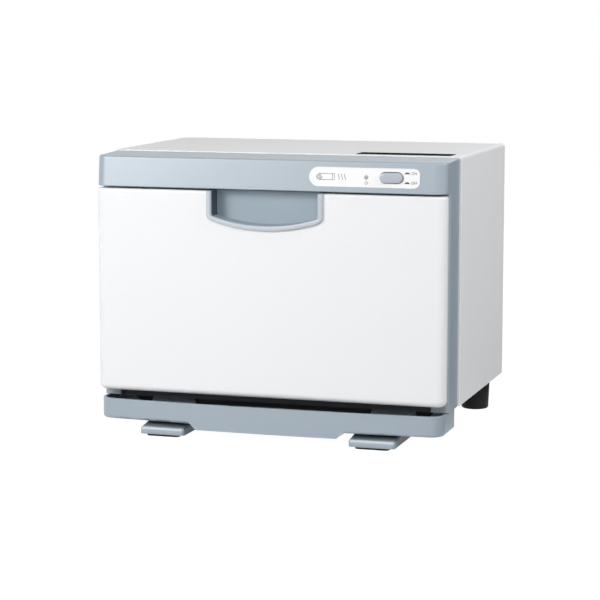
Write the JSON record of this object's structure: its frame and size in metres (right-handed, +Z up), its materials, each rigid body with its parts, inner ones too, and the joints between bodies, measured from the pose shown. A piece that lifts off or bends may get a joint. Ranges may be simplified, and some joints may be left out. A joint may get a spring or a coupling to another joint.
{
  "type": "towel warmer",
  "caption": "Countertop towel warming cabinet with a drop-down door, recessed handle, pull-out drip tray, wire basket and a lit power button in the header.",
  "frame": {"origin": "centre of the overall box, on the table that the feet stand on", "axes": "+X to the object's own right seen from the front, +Y from the door to the rear, +Z up"},
  "size_m": [0.35, 0.2564, 0.2717],
  "materials": {
    "white_paint": "satin",
    "white_gloss": "gloss",
    "bezel_grey": "satin",
    "plate_white": "gloss",
    "black_plastic": "matte",
    "dark_sheet": "satin",
    "zinc_sheet": "satin",
    "tank_aluminium": "satin",
    "wire_chrome": "polished",
    "liner_white": "satin",
    "silicone_grey": "matte",
    "rubber_black": "matte",
    "foil_heater": "satin",
    "felt": "matte",
    "foam": "matte",
    "lens_clear": "gloss",
    "screw_steel": "satin",
    "pin_steel": "polished",
    "brown_phenolic": "matte",
    "nylon": "satin",
    "wire_insulation": "matte"
  },
  "bodies": {
    "cabinet": {"outer_case": "white_paint", "rear_panel": "white_paint", "base_pan": "dark_sheet", "front_bezel": "bezel_grey", "control_plate": "plate_white", "power_switch": "black_plastic", "lamp_lens": "lens_clear", "lamp_holder": "black_plastic", "inner_tank": "tank_aluminium", "sheet_heater": "foil_heater", "insulation_blanket": "felt", "thermostat": "brown_phenolic", "thermal_fuse": "zinc_sheet", "terminal_block": "nylon", "wiring_harness": "wire_insulation", "cord_gland": "black_plastic", "basket_rim": "wire_chrome", "basket_base_loop": "wire_chrome", "basket_floor_rods": "wire_chrome", "basket_uprights": "wire_chrome", "magnet_catch_left": "black_plastic", "magnet_catch_right": "black_plastic", "hinge_bracket_left": "zinc_sheet", "hinge_bracket_right": "zinc_sheet", "hinge_pin_left": "pin_steel", "hinge_pin_right": "pin_steel", "tray_rail_left": "zinc_sheet", "tray_rail_right": "zinc_sheet", "front_foot_left": "bezel_grey", "front_foot_right": "bezel_grey", "front_foot_pad_left": "rubber_black", "front_foot_pad_right": "rubber_black", "rear_foot_left": "black_plastic", "rear_foot_right": "black_plastic", "tank_screws": "screw_steel", "bezel_screws": "screw_steel", "rear_panel_screws": "screw_steel", "switch_screws": "screw_steel", "base_screws": "screw_steel", "rail_screws": "screw_steel", "front_foot_screws": "screw_steel", "rear_foot_screws": "screw_steel", "hinge_screws": "screw_steel"},
    "door": {"door_shell": "white_gloss", "door_liner": "liner_white", "door_insulation": "foam", "door_gasket": "silicone_grey", "handle_cup": "bezel_grey", "strike_plate_left": "zinc_sheet", "strike_plate_right": "zinc_sheet", "hinge_bush_left": "nylon", "hinge_bush_right": "nylon", "door_screws": "screw_steel"},
    "tray": {"drip_tray": "bezel_grey"},
    "button": {"power_button": "bezel_grey"}
  },
  "joints": [
    {"name": "door_hinge", "type": "hinge", "parent": "cabinet", "child": "door", "pos_m": [0, -0.10975, 0.0474], "axis": [1, 0, 0], "range_deg": [0, 90]},
    {"name": "drip_tray_slide", "type": "slide", "parent": "cabinet", "child": "tray", "axis": [0, -1, 0], "range_m": [0, 0.045]},
    {"name": "power_button_press", "type": "slide", "parent": "cabinet", "child": "button", "axis": [0, 1, 0], "range_m": [0, 0.0025], "stiffness_N_per_m": 600}
  ]
}
